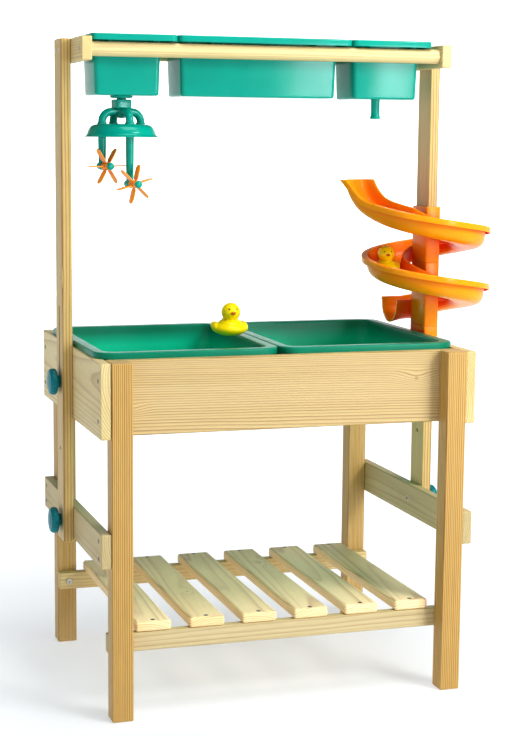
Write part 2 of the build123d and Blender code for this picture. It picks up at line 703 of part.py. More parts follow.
upper_low = 825.0
lower_low = 694.0
slide_section("slide_upper", -135, 90, upper_low, sleeve_top, (-90, 0), scoop=True)
slide_section("slide_lower", 90, 450, lower_low, upper_low, (270, 360), outlet=True)
with BuildPart() as slide_base:
    extrude(sleeve_outline(table_height), amount=lower_low - table_height)
    with Locations((slide_x, post_y, table_height)):
        Box(*sleeve_inner, 60.0, mode=Mode.SUBTRACT)
save(slide_base, "slide_base")


# ---- Ducks ----
def duck(name, foot, scale, heading, head_radius=19.0):
    """A bath duck: hull, tail and head in one moulding, and a beak of its own."""
    x, y, z = foot
    turn_z = radians(heading)
    ahead = Vector(sin(turn_z), -cos(turn_z), 0)
    with BuildPart() as body:
        with BuildSketch(Plane.XZ.offset(-y)):
            with BuildLine():
                Line((x, z), (x + 22 * scale, z))
                Spline((x + 22 * scale, z), (x + 37 * scale, z + 15 * scale), (x + 24 * scale, z + 29 * scale),
                       (x + 12 * scale, z + 38 * scale), tangents=[(1, 0.15), (-0.6, 1)])
                Line((x + 12 * scale, z + 38 * scale), (x, z + 38 * scale))
                Line((x, z + 38 * scale), (x, z))
            make_face()
        revolve(axis=Axis((x, y, 0), (0, 0, 1)))
        head = Vector(x, y, z + 48 * scale) + ahead * 6 * scale
        with Locations(head):
            Sphere(head_radius)
        tail = Vector(x, y, z + 24 * scale) - ahead * 28 * scale
        with Locations(tail):
            Sphere(9 * scale)
    save(body, name)
    tip = head + ahead * (head_radius - 2.0)
    with BuildPart() as beak:
        with BuildSketch(Plane(origin=tip, x_dir=(cos(turn_z), sin(turn_z), 0), z_dir=ahead)):
            RectangleRounded(19 * scale, 9 * scale, 4 * scale)
        extrude(amount=8 * scale)
        fillet(beak.faces().sort_by(Axis.Y)[0].outer_wire().edges(), 2.2 * scale)
        with Locations(head):
            Sphere(head_radius, mode=Mode.SUBTRACT)
    save(beak, f"{name}_beak")


bin_rim_top = table_height + bin_rim_tall
duck("duck_on_bin", (left + 302.0, front + 262.0, bin_rim_top + 0.2), 1.0, 0.0)
duck_turn = 172.0
duck_angle = radians(duck_turn)
duck_radius = (channel_in + channel_out) / 2 + 0.5
duck_foot = (
    slide_x + duck_radius * cos(duck_angle),
    duck_radius * sin(duck_angle),
    rim_height(duck_turn) - channel_deep + channel_wall + 8.5,
)
duck("duck_on_slide", duck_foot, 0.82, -8.0, head_radius=17.5)
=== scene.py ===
import bmesh
import bpy
import json
import math
from math import cos, pi, radians, sin
from mathutils import Matrix, Vector


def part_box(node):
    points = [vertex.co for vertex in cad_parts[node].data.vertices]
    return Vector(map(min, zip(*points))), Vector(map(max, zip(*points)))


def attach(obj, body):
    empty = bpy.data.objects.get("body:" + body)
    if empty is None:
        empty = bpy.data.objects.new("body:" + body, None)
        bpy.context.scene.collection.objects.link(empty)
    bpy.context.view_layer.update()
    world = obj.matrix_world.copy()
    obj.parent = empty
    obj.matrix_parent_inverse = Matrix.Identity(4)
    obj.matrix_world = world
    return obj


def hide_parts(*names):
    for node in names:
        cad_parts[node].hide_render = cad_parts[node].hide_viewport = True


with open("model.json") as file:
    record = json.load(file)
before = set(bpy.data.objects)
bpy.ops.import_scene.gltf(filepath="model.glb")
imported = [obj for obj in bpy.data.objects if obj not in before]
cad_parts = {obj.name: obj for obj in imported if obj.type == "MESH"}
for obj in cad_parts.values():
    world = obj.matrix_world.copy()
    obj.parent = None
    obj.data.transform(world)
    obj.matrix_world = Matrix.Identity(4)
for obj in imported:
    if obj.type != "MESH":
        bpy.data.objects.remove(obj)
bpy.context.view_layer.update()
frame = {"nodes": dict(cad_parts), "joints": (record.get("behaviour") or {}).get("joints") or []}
MM = 0.001
# Level directions: straight away from the viewer of the main view, and across it.
AWAY = (0.305, 0.952, 0.0)
ACROSS = (0.952, -0.305, 0.0)
FLOOR_HALF = 14.0
BACKDROP_RADIUS, BACKDROP_TOP, BACKDROP_STEPS = 8.0, 3.2, 72
# Where the camera stands from the front left leg's low corner.
CAMERA_OFFSET = (-0.66019, -2.89361, 1.07865)
CAMERA_LENS, CAMERA_SENSOR = 81.14, 36.0
TUB_WALL, TROUGH_WALL = 0.003, 0.0025
# The slide channel's outer and inner radius round the post, and its wall.
CHANNEL_OUT, CHANNEL_IN, CHANNEL_WALL = 0.123, 0.045, 0.003
nodes = frame["nodes"]


# ---------- node helpers ----------
def new_material(name):
    material = bpy.data.materials.new(name)
    material.use_nodes = True
    tree = material.node_tree
    tree.nodes.clear()
    out = tree.nodes.new("ShaderNodeOutputMaterial")
    shader = tree.nodes.new("ShaderNodeBsdfPrincipled")
    tree.links.new(shader.outputs[0], out.inputs[0])
    return material, tree, shader


def add(tree, kind, inputs=None, **settings):
    """Make a node; inputs maps a socket to a value, or to a socket that feeds it."""
    made = tree.nodes.new(kind)
    for key, value in settings.items():
        setattr(made, key, value)
    for key, value in (inputs or {}).items():
        if isinstance(value, bpy.types.NodeSocket):
            tree.links.new(value, made.inputs[key])
        else:
            made.inputs[key].default_value = value
    return made


def maths(tree, operation, a, b=0.0, c=None, clamp=False):
    inputs = {0: a, 1: b}
    if c is not None:
        inputs[2] = c
    return add(tree, "ShaderNodeMath", inputs, operation=operation, use_clamp=clamp).outputs[0]


def vector_maths(tree, operation, a, b):
    return add(tree, "ShaderNodeVectorMath", {0: a, 1: b}, operation=operation)


def ramp(tree, value, stops):
    """A colour ramp; a stop is (position, grey level or colour)."""
    made = add(tree, "ShaderNodeValToRGB", {0: value})
    while len(made.color_ramp.elements) < len(stops):
        made.color_ramp.elements.new(0.5)
    for element, (position, colour) in zip(made.color_ramp.elements, stops):
        element.position = position
        if not hasattr(colour, "__len__"):
            colour = (colour,) * 3
        element.color = (*colour, 1)
    return made.outputs[0]


def mix(tree, factor, a, b, blend="MIX"):
    made = tree.nodes.new("ShaderNodeMix")
    made.data_type = "RGBA"
    made.blend_type = blend
    for index, value in ((0, factor), (6, a), (7, b)):
        if isinstance(value, bpy.types.NodeSocket):
            tree.links.new(value, made.inputs[index])
        else:
            if index and len(value) == 3:
                value = (*value, 1)
            made.inputs[index].default_value = value
    return made.outputs[2]


def noise(tree, vector, scale, detail=2.0, roughness=0.5):
    return add(tree, "ShaderNodeTexNoise", {"Vector": vector, "Scale": scale, "Detail": detail,
                                            "Roughness": roughness}).outputs[0]


def bump(tree, height, strength, distance, normal=None):
    inputs = {"Height": height, "Strength": strength, "Distance": distance}
    if normal is not None:
        inputs["Normal"] = normal
    return add(tree, "ShaderNodeBump", inputs).outputs[0]


# ---------- materials ----------
ROTATION = {"x": (0, -pi / 2, 0), "y": (pi / 2, 0, 0), "z": (0, 0, 0)}


def pine(name, axis, pith, seed, tint=(1.0, 1.0, 1.0), knots=(), spacing=3.1, contrast=1.0, lean=0.0,
         wave=0.012):
    """Planed softwood: growth rings about a pith line, bent round knots, with fibres and a thin stain."""
    material, tree, shader = new_material(name)
    place = add(tree, "ShaderNodeTexCoord").outputs["Object"]
    turned = add(tree, "ShaderNodeMapping", {"Vector": place, "Location": tuple(-p for p in pith)},
                 vector_type="POINT").outputs[0]
    turned = add(tree, "ShaderNodeMapping", {"Vector": turned, "Rotation": ROTATION[axis]}).outputs[0]
    if lean:
        tilt = (lean, -lean * 0.7, 0)
        turned = add(tree, "ShaderNodeMapping", {"Vector": turned, "Rotation": tilt}).outputs[0]
    slow = add(tree, "ShaderNodeMapping", {"Vector": turned, "Location": (seed * 1.7, seed * 0.9, seed),
                                           "Scale": (1, 1, 0.13)}).outputs[0]
    wander = add(tree, "ShaderNodeTexNoise", {"Vector": slow, "Scale": 7.0, "Detail": 3.0, "Roughness": 0.55})
    shifted = vector_maths(tree, "SUBTRACT", wander.outputs[1], (0.5, 0.5, 0.5)).outputs[0]
    shifted = vector_maths(tree, "MULTIPLY", shifted, (wave, wave, 0.0)).outputs[0]
    flat = vector_maths(tree, "MULTIPLY", turned, (1.0, 1.0, 0.0)).outputs[0]
    flat = vector_maths(tree, "ADD", flat, shifted).outputs[0]
    distance = vector_maths(tree, "LENGTH", flat, (0, 0, 0)).outputs["Value"]
    knot_mask = None
    for point, size in knots:
        offset = vector_maths(tree, "SUBTRACT", place, point).outputs[0]
        stretch = {"x": (0.45, 1, 1), "y": (1, 0.45, 1), "z": (1, 1, 0.45)}[axis]
        near = vector_maths(tree, "MULTIPLY", offset, stretch).outputs[0]
        near = vector_maths(tree, "LENGTH", near, (0, 0, 0)).outputs["Value"]
        bulge = maths(tree, "DIVIDE", near, size * 1.5)
        squared = maths(tree, "MULTIPLY", bulge, bulge)
        bulge = maths(tree, "POWER", 2.718, maths(tree, "MULTIPLY", squared, -1.0))
        distance = maths(tree, "ADD", distance, maths(tree, "MULTIPLY", bulge, size * 0.9))
        body = vector_maths(tree, "LENGTH", offset, (0, 0, 0)).outputs["Value"]
        body = maths(tree, "SUBTRACT", 1.0, maths(tree, "DIVIDE", body, size * 0.62), clamp=True)
        body = maths(tree, "MULTIPLY", body, 2.2, clamp=True)
        knot_mask = body if knot_mask is None else maths(tree, "MAXIMUM", knot_mask, body)
    uneven = noise(tree, slow, 22.0, 2.0)
    ring = maths(tree, "DIVIDE", distance, spacing * MM)
    ring = maths(tree, "ADD", ring, maths(tree, "MULTIPLY", uneven, 0.8))
    phase = maths(tree, "FRACT", ring)
    late = ramp(tree, phase, [(0.0, 0.10), (0.12, 0.0), (0.50, 0.10), (0.80, 0.62), (0.90, 1.0), (1.0, 0.10)])
    which = noise(tree, maths(tree, "FLOOR", ring), 1.7, 0.0)
    strength = maths(tree, "ADD", maths(tree, "MULTIPLY", which, 1.1), 0.25)
    late = maths(tree, "MULTIPLY", late, strength, clamp=True)
    late = maths(tree, "MULTIPLY", late, contrast, clamp=True)
    fibre_at = add(tree, "ShaderNodeMapping", {"Vector": turned, "Scale": (1, 1, 0.022)}).outputs[0]
    fibre = noise(tree, fibre_at, 900.0, 3.0, 0.7)
    cloudy = noise(tree, slow, 5.0, 3.0)
    early = [c * t for c, t in zip((0.66, 0.49, 0.195), tint)]
    pale = [c * t for c, t in zip((0.77, 0.61, 0.29), tint)]
    dark = [c * t for c, t in zip((0.36, 0.17, 0.035), tint)]
    ground = mix(tree, ramp(tree, cloudy, [(0.30, 0.0), (0.72, 1.0)]), early, pale)
    colour = mix(tree, maths(tree, "MULTIPLY", late, 0.85), ground, dark)
    shade = ramp(tree, fibre, [(0.25, 0.80), (0.60, 1.04)])
    colour = mix(tree, 0.75, colour, shade, "MULTIPLY")
    streak = noise(tree, add(tree, "ShaderNodeMapping", {"Vector": turned, "Location": (seed, 0, 0),
                                                         "Scale": (1, 1, 0.05)}).outputs[0], 60.0, 2.0)
    colour = mix(tree, ramp(tree, streak, [(0.55, 0.0), (0.85, 0.12)]), colour, dark)
    if knot_mask is not None:
        colour = mix(tree, maths(tree, "MULTIPLY", knot_mask, 0.85), colour, (0.26, 0.15, 0.05))
    worn = add(tree, "ShaderNodeNewGeometry").outputs["Pointiness"]
    colour = mix(tree, ramp(tree, worn, [(0.52, 0.0), (0.62, 0.22)]), colour, (0.93, 0.80, 0.56))
    tree.links.new(colour, shader.inputs["Base Color"])
    rough = maths(tree, "ADD", maths(tree, "MULTIPLY", fibre, 0.22), 0.42)
    rough = maths(tree, "ADD", rough, maths(tree, "MULTIPLY", late, -0.10))
    tree.links.new(rough, shader.inputs["Roughness"])
    relief = maths(tree, "ADD", maths(tree, "MULTIPLY", fibre, 0.5), maths(tree, "MULTIPLY", late, 0.5))
    tree.links.new(bump(tree, relief, 0.35, 0.0006), shader.inputs["Normal"])
    shader.inputs["Specular IOR Level"].default_value = 0.35
    return material


def plastic(name, colour, deep, rough=0.28, grain=700.0, grain_depth=0.00003, glow=0.0, worn=(1, 1, 1),
            gloss_level=0.3, painted_shade_colour=None, inside=None):
    """Moulded plastic: slow colour drift, a fine mould texture, faint scuffs and paler edges.

    hollow is a painted shade: the colour the plastic is painted where nearby surfaces close it in, as
    see-through plastic looks in shade.
    inside is (start height, end height, colour): painted light; low down the plastic turns to that lighter
    colour, and the top keeps the darker base.
    """
    material, tree, shader = new_material(name)
    place = add(tree, "ShaderNodeTexCoord").outputs["Object"]
    drift = noise(tree, place, 9.0, 3.0)
    base = mix(tree, ramp(tree, drift, [(0.30, 0.0), (0.70, 1.0)]), deep, colour)
    if inside:
        # Painted light: lighter low down, darker towards the rim.
        height = add(tree, "ShaderNodeSeparateXYZ", {"Vector": place}).outputs["Z"]
        painted_light_low = add(tree, "ShaderNodeMapRange", {
            "Value": height, "From Min": inside[0], "From Max": inside[1], "To Min": 0.0, "To Max": 1.0,
        }).outputs["Result"]
        base = mix(tree, painted_light_low, base, inside[2])
    scuff_at = add(tree, "ShaderNodeMapping", {"Vector": place, "Rotation": (0.4, 0.9, 0.3),
                                               "Scale": (1.0, 0.08, 1.0)}).outputs[0]
    scuff = noise(tree, scuff_at, 420.0, 3.0, 0.7)
    scuff = ramp(tree, scuff, [(0.62, 0.0), (0.78, 1.0)])
    base = mix(tree, maths(tree, "MULTIPLY", scuff, 0.05), base, worn)
    edge = add(tree, "ShaderNodeNewGeometry").outputs["Pointiness"]
    base = mix(tree, ramp(tree, edge, [(0.53, 0.0), (0.66, 0.16)]), base, worn)
    # Painted shade: where nearby surfaces close it in, the plastic is painted towards the given deep colour.
    if painted_shade_colour:
        open_air = add(tree, "ShaderNodeAmbientOcclusion", {"Distance": 0.085}, samples=6).outputs["AO"]
        base = mix(tree, ramp(tree, open_air, [(0.30, 1.0), (0.85, 0.0)]), base, painted_shade_colour)
    tree.links.new(base, shader.inputs["Base Color"])
    mould = noise(tree, place, grain, 2.0)
    cloud = noise(tree, place, 24.0, 3.0)
    gloss = maths(tree, "ADD", maths(tree, "MULTIPLY", cloud, 0.14), rough - 0.07)
    gloss = maths(tree, "ADD", gloss, maths(tree, "MULTIPLY", scuff, 0.12))
    tree.links.new(gloss, shader.inputs["Roughness"])
    sink = noise(tree, place, 16.0, 1.0)
    wavy = bump(tree, sink, 0.25, 0.0008)
    tree.links.new(bump(tree, mould, 0.5, grain_depth, wavy), shader.inputs["Normal"])
    shader.inputs["Specular IOR Level"].default_value = gloss_level
    if glow:
        shader.inputs["Subsurface Weight"].default_value = glow
        shader.inputs["Subsurface Radius"].default_value = (0.010, 0.006, 0.002)
        shader.inputs["Subsurface Scale"].default_value = 0.6
    return material


def zinc(name, shade=1.0):
    """Zinc-plated steel with a faint spangle and fine turning marks; a low shade makes the whole tone darker.
    """
    material, tree, shader = new_material(name)
    place = add(tree, "ShaderNodeTexCoord").outputs["Object"]
    spangle = add(tree, "ShaderNodeTexVoronoi", {"Vector": place, "Scale": 500.0}).outputs["Distance"]
    dull = [c * shade for c in (0.46, 0.45, 0.43)]
    bright = [c * shade for c in (0.66, 0.65, 0.62)]
    tone = ramp(tree, spangle, [(0.0, dull), (0.8, bright)])
    stain = noise(tree, place, 160.0, 3.0)
    tone = mix(tree, ramp(tree, stain, [(0.55, 0.0), (0.80, 0.45)]), tone, (0.33, 0.28, 0.20))
    tree.links.new(tone, shader.inputs["Base Color"])
    shader.inputs["Metallic"].default_value = 1.0
    rough = maths(tree, "ADD", maths(tree, "MULTIPLY", stain, 0.25), 0.22)
    tree.links.new(rough, shader.inputs["Roughness"])
    tree.links.new(bump(tree, noise(tree, place, 1500.0, 2.0), 0.3, 0.00004), shader.inputs["Normal"])
    return material


GREEN = plastic("trough_green", (0.0, 0.38, 0.290), (0.0, 0.33, 0.25), rough=0.17, worn=(0.45, 0.80, 0.68),
                gloss_level=0.25)
tub_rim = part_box("bin_left")[1].z
# Painted light: the tub is lighter low down and darker at the rim, for how light falls on it.
TUB = plastic("tub_green", (0.0, 0.25, 0.150), (0.0, 0.22, 0.130), rough=0.30, grain=520.0,
              grain_depth=0.00006, worn=(0.40, 0.70, 0.60), gloss_level=0.2,
              inside=(tub_rim - 0.012, tub_rim - 0.040, (0.0, 0.62, 0.40)))
TEAL = plastic("knob_teal", (0.0, 0.23, 0.27), (0.0, 0.19, 0.23), rough=0.34, grain=1100.0,
               worn=(0.3, 0.6, 0.65))
# The slide's deep red in its closed-in places is a painted shade.
ORANGE = plastic("slide_orange", (0.98, 0.39, 0.008), (0.97, 0.34, 0.006), rough=0.22, glow=0.35,
                 worn=(1.0, 0.55, 0.15), painted_shade_colour=(0.85, 0.050, 0.004), gloss_level=0.18)
WHEEL = plastic("wheel_orange", (0.98, 0.40, 0.03), (0.95, 0.33, 0.02), rough=0.30, glow=0.12,
                worn=(1.0, 0.70, 0.3))
YELLOW = plastic("duck_yellow", (1.0, 0.80, 0.0), (1.0, 0.73, 0.0), rough=0.32, glow=0.18,
                 worn=(1.0, 0.95, 0.4))
BEAK = plastic("beak_orange", (0.75, 0.20, 0.012), (0.62, 0.15, 0.01), rough=0.4, worn=(0.95, 0.45, 0.1))
EYE = plastic("eye_black", (0.012, 0.010, 0.010), (0.02, 0.015, 0.012), rough=0.25, worn=(0.10, 0.09, 0.08))
STEEL = zinc("zinc_steel")
# A much darker zinc, used for the side and slat screws.
DARK_ZINC = zinc("dark_zinc_steel", 0.22)


# ---------- mesh helpers ----------
def piece(name, mesh_data, material, body, replaced=(), smooth_angle=40):
    """Link a bmesh as a smooth piece that rides on a CAD body."""
    mesh = bpy.data.meshes.new(name)
    bmesh.ops.remove_doubles(mesh_data, verts=mesh_data.verts, dist=1e-6)
    bmesh.ops.recalc_face_normals(mesh_data, faces=mesh_data.faces)
    mesh_data.to_mesh(mesh)
    mesh_data.free()
    mesh.materials.append(material)
    mesh.polygons.foreach_set("use_smooth", [True] * len(mesh.polygons))
    mesh.set_sharp_from_angle(angle=radians(smooth_angle))
    made = bpy.data.objects.new(name, mesh)
    bpy.context.scene.collection.objects.link(made)
    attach(made, body)
    if replaced:
        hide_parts(*replaced)
    return made


def skin(shape, rings, cap=True, close=False):
    """Join rings of equal length into a surface; the end rings are closed by faces."""
    made = [[shape.verts.new(p) for p in ring] for ring in rings]
    pairs = list(zip(made, made[1:])) + ([(made[-1], made[0])] if close else [])
    count = len(made[0])
    for a, b in pairs:
        for i in range(count):
            j = (i + 1) % count
            shape.faces.new((a[i], a[j], b[j], b[i]))
    if cap and not close:
        shape.faces.new(made[0])
        shape.faces.new(made[-1])


def eased(points, radii, steps=5):
    """Round the corners of a path, in any number of dimensions; a radius of 0 keeps a corner."""
    out = []
    last = len(points) - 1
    for i, (point, radius) in enumerate(zip(points, radii)):
        if i in (0, last) or radius <= 0:
            out.append(tuple(point))
            continue
        ends = []
        for other in (points[i - 1], points[i + 1]):
            length = math.dist(point, other)
            share = min(radius / length, 0.48)
            ends.append([p + (o - p) * share for p, o in zip(point, other)])
        for k in range(steps + 1):
            t = k / steps
            out.append(tuple((1 - t) ** 2 * a + 2 * t * (1 - t) * p + t * t * b
                             for a, p, b in zip(ends[0], point, ends[1])))
    return out


def rounded_ring(cx, cy, hx, hy, radius, z, steps=7):
    ring = []
    radius = min(radius, hx - 1e-5, hy - 1e-5)
    for quarter, (sx, sy) in enumerate(((1, 1), (-1, 1), (-1, -1), (1, -1))):
        for k in range(steps + 1):
            angle = (quarter + k / steps) * pi / 2
            ring.append(Vector((cx + sx * (hx - radius) + radius * cos(angle),
                                cy + sy * (hy - radius) + radius * sin(angle), z)))
    return ring


def lathe(shape, profile, place=Matrix.Identity(4), steps=48, close=True):
    """Turn a (radius, height) profile about Z; points on the axis close the end."""
    rings = []
    turns = [2 * pi * k / steps for k in range(steps)]
    for radius, height in profile:
        radius = max(radius, 1e-5)
        rings.append([place @ Vector((radius * cos(a), radius * sin(a), height)) for a in turns])
    skin(shape, rings, cap=not close, close=close)


def tube(shape, points, radii, steps=20):
    """A round tube along points; radii holds one radius a point."""
    rings = []
    side = None
    for i, point in enumerate(points):
        ahead = (points[min(i + 1, len(points) - 1)] - points[max(i - 1, 0)]).normalized()
        if side is None:
            side = ahead.orthogonal().normalized()
        side = (side - ahead * side.dot(ahead)).normalized()
        other = ahead.cross(side)
        rings.append([point + (side * cos(2 * pi * k / steps) + other * sin(2 * pi * k / steps)) * radii[i]
                      for k in range(steps)])
    skin(shape, rings)


def bar(shape, low, high, edge):
    """A bar with rounded upright and level edges."""
    cx, cy = (low[0] + high[0]) / 2, (low[1] + high[1]) / 2
    hx, hy = (high[0] - low[0]) / 2, (high[1] - low[1]) / 2
    path = eased([(hx - edge, hy - edge, edge, low[2]), (hx, hy, edge, low[2]), (hx, hy, edge, high[2]),
                  (hx - edge, hy - edge, edge, high[2])], [0, edge, edge, 0], 3)
    skin(shape, [rounded_ring(cx, cy, p[0], p[1], max(p[2], 1e-4), p[3], 4) for p in path])


# ---------- wood: each board gets grain along its length and its own pith ----------
def centre(node):
    low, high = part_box(node)
    return (low + high) / 2


def wood_for(node, axis, shift, seed, **kw):
    nodes[node].data.materials.clear()
    middle = centre(node)
    pith = tuple(m + s for m, s in zip(middle, shift))
    nodes[node].data.materials.append(pine("pine_" + node, axis, pith, seed, **kw))


# Tints of the groups of boards, as (red, green, blue) factors.
BUFF = (0.80, 0.79, 0.74)
WARM = (0.88, 0.78, 0.60)
PLAIN = (0.95, 0.94, 0.90)
PALE = (1.10, 1.20, 1.38)
# The slats' tint is partly their paler, cooler wood and partly painted light, lifting them out of the shade
# they get under the tubs.
SLAT_PAINTED_LIFT = (1.38, 1.42, 1.85)
COOL = (1.02, 1.12, 1.30)
DULL = (0.80, 0.86, 1.02)
front_low, front_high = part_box("apron_front")
apron_knots = (
    ((front_high.x - 0.088, front_low.y + 0.004, front_low.z + 0.087), 0.011),
    ((front_low.x + 0.046, front_low.y + 0.006, front_low.z + 0.048), 0.008),
)
wood_for("apron_front", "x", (0.0, 0.06, -0.10), 1.0, tint=BUFF, spacing=3.6, contrast=1.7,
         lean=0.010, wave=0.009, knots=apron_knots)
wood_for("apron_rear", "x", (0.0, -0.06, 0.11), 2.0, spacing=3.6, contrast=0.9, lean=-0.01, wave=0.009)
wood_for("side_board_left", "y", (0.12, 0.0, 0.03), 3.0, tint=COOL, spacing=4.6, contrast=0.75, lean=0.02)
wood_for("side_board_right", "y", (-0.12, 0.0, -0.03), 4.0, tint=COOL, spacing=4.6, contrast=0.75, lean=-0.02)
wood_for("side_rail_left", "y", (0.09, 0.0, 0.02), 5.0, tint=DULL, spacing=4.0, contrast=0.7)
wood_for("side_rail_right", "y", (-0.09, 0.0, 0.02), 6.0, tint=DULL, spacing=4.0, contrast=0.7)
wood_for("shelf_rail_front", "x", (0.0, 0.07, 0.03), 7.0, tint=DULL, spacing=3.6, contrast=0.8, lean=0.006)
wood_for("shelf_rail_rear", "x", (0.0, -0.07, 0.03), 8.0, spacing=3.6, contrast=0.8)
for number in range(1, 7):
    slat = f"shelf_slat_{number}"
    low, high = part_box(slat)
    spots = () if number % 2 else (((low.x + 0.045, low.y + 0.09 * number, high.z - 0.002), 0.006),)
    wood_for(slat, "y", (0.018 * (-1) ** number, 0.0, -0.10), 10.0 + number, tint=SLAT_PAINTED_LIFT,
             spacing=4.4, contrast=0.75, lean=0.016 * (-1) ** number, knots=spots)
for index, side in enumerate(("left", "right")):
    sense = -1 if side == "left" else 1
    for depth, end in enumerate(("front", "rear")):
        wood_for(f"leg_{end}_{side}", "z", (0.075, 0.050 if end == "front" else -0.050, 0.0),
                 20.0 + index + 2 * depth, tint=WARM, spacing=2.9, contrast=1.8, wave=0.004)
    low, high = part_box(f"post_{side}")
    outer_x = high.x if side == "right" else low.x
    wood_for(f"post_{side}", "z", (-0.05 * sense, 0.055, 0.0), 26.0 + index, tint=PLAIN, spacing=3.0,
             contrast=1.3, wave=0.005, knots=(((outer_x, -0.018, low.z + 0.52), 0.006),))
    wood_for(f"rack_arm_{side}", "y", (0.05 * sense, 0.0, -0.03), 28.0 + index, tint=PALE, spacing=3.4,
             contrast=0.8)
wood_for("dowel_front", "x", (0.0, 0.020, -0.012), 31.0, tint=PALE, spacing=2.8, contrast=0.7)
wood_for("dowel_rear", "x", (0.0, -0.020, -0.012), 32.0, tint=PALE, spacing=2.8, contrast=0.7)

dark_screw_nodes = ("side_screws", "slat_screws")
steel_nodes = ["frame_bolts", "side_screws", "slat_screws", "rack_screws", "insert_nuts", "wheel_axles"]
steel_nodes += [n for n in nodes if n.startswith("knob_bolt_")]
for node in steel_nodes:
    nodes[node].data.materials.clear()
    nodes[node].data.materials.append(DARK_ZINC if node in dark_screw_nodes else STEEL)


# ---------- tubs and troughs ----------
def vessel(shape, middle, rim, body_top, body_low, low_z, rim_low, top, wall, rim_radius, body_radius, crown,
           toe=0.014, shift=0.0):
    """One closed skin: outer floor, outer wall, rim underside, skirt, rim top, inner wall, inner floor.

    The floor has no drain hole. toe rounds the floor's edge, and shift moves the body under its rim.
    """
    cx, cy = middle
    path = [
        (0.002, 0.002, 0.001, low_z, shift),
        (body_low[0], body_low[1], body_radius, low_z, shift),
        (body_top[0], body_top[1], body_radius, top - wall, shift),
        (rim[0] - wall, rim[1] - wall, rim_radius - wall, top - wall, 0),
        (rim[0] - wall, rim[1] - wall, rim_radius - wall, rim_low, 0),
        (rim[0], rim[1], rim_radius, rim_low, 0),
        (rim[0], rim[1], rim_radius, top, 0),
        (body_top[0] - wall, body_top[1] - wall, body_radius - wall, top, shift),
        (body_low[0] - wall, body_low[1] - wall, body_radius - wall, low_z + wall, shift),
        (0.002, 0.002, 0.001, low_z + wall, shift),
    ]
    radii = [0, toe, 0.003, 0.002, 0.0008, 0.0008, crown, crown * 1.1, toe, 0]
    rings = [rounded_ring(cx + p[4], cy, p[0], p[1], p[2], p[3]) for p in eased(path, radii, 6)]
    skin(shape, rings)


for side in ("left", "right"):
    low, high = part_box(f"bin_{side}")
    shape = bmesh.new()
    hx, hy = (high.x - low.x) / 2, (high.y - low.y) / 2
    vessel(shape, ((low.x + high.x) / 2, (low.y + high.y) / 2), (hx, hy), (hx - 0.018, hy - 0.018),
           (hx - 0.030, hy - 0.030), low.z, high.z - 0.012, high.z, TUB_WALL, 0.036, 0.026, 0.0042)
    piece(f"tub_{side}", shape, TUB, f"bin_{side}", [f"bin_{side}"])

bodies_wide = {"left": 0.129, "middle": 0.317, "right": 0.139}
body_shifts = {"left": -0.0056, "middle": -0.0033, "right": 0.0}
for place in ("left", "middle", "right"):
    low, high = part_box(f"trough_{place}")
    shape = bmesh.new()
    hx, hy = (high.x - low.x) / 2, (high.y - low.y) / 2
    cx, cy = (low.x + high.x) / 2, (low.y + high.y) / 2
    top_size = (bodies_wide[place] / 2, 0.055)
    vessel(shape, (cx, cy), (hx, hy), top_size, (top_size[0] - 0.003, 0.051), low.z, high.z - 0.012, high.z,
           TROUGH_WALL, 0.012, 0.008, 0.0032, toe=0.005, shift=body_shifts[place])
    for along in (-0.66, 0.66):
        for sense in (-1, 1):
            x = cx + body_shifts[place] + along * top_size[0]
            y = sorted((cy + sense * 0.057, cy + sense * (hy - 0.004)))
            bar(shape, (x - 0.00125, y[0], high.z - 0.0135), (x + 0.00125, y[1], high.z - 0.0024), 0.0005)
    piece(f"trough_{place}_shell", shape, GREEN, f"trough_{place}", [f"trough_{place}"])


# ---------- drain, spout, shower ----------
low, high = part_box("drain_neck")
neck_x, neck_y = (low.x + high.x) / 2, (low.y + high.y) / 2
trough_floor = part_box("trough_left")[0].z
shape = bmesh.new()
lathe(shape, eased([(0.006, high.z), (0.015, high.z), (0.015, high.z - 0.002), (0.009, high.z - 0.002),
                    (0.009, low.z), (0.006, low.z), (0.006, high.z)],
                   [0, 0.0008, 0.0004, 0.0004, 0.0006, 0, 0], 3),
      Matrix.Translation((neck_x, neck_y, 0)), 40)
piece("drain_neck_turned", shape, GREEN, "trough_left", ["drain_neck"])
nut_low, nut_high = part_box("drain_nut")
nut_radius = (nut_high.x - nut_low.x) / 2
shape = bmesh.new()
rings = []
nut_path = [(0.0091, nut_high.z), (nut_radius, nut_high.z), (nut_radius, nut_low.z + 0.001),
            (nut_radius - 0.003, nut_low.z), (0.0091, nut_low.z)]
for radius, height in eased(nut_path, [0, 0.0005, 0.0008, 0.0008, 0], 3):
    ring = []
    for k in range(96):
        angle = 2 * pi * k / 96
        grip = 1.0 - (0.012 if radius > nut_radius - 0.002 else 0.0) * (0.5 + 0.5 * cos(24 * angle))
        ring.append(Vector((neck_x + radius * grip * cos(angle), neck_y + radius * grip * sin(angle),
                            height)))
    rings.append(ring)
skin(shape, rings, close=True)
piece("drain_nut_ring", shape, GREEN, "trough_left", ["drain_nut"])

low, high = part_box("spout")
shape = bmesh.new()
floor_top = trough_floor + TROUGH_WALL
lathe(shape, eased([(0.006, floor_top + 0.002), (0.015, floor_top + 0.002), (0.015, floor_top),
                    (0.009, floor_top), (0.0086, low.z + 0.009), (0.0102, low.z + 0.003),
                    (0.0102, low.z), (0.0078, low.z), (0.006, low.z + 0.008), (0.006, floor_top + 0.002)],
                   [0, 0.0008, 0.0004, 0.001, 0.003, 0.0008, 0.0006, 0.0006, 0.002, 0], 4),
      Matrix.Translation(((low.x + high.x) / 2, (low.y + high.y) / 2, 0)), 40)
piece("spout_turned", shape, GREEN, "trough_right", ["spout"])

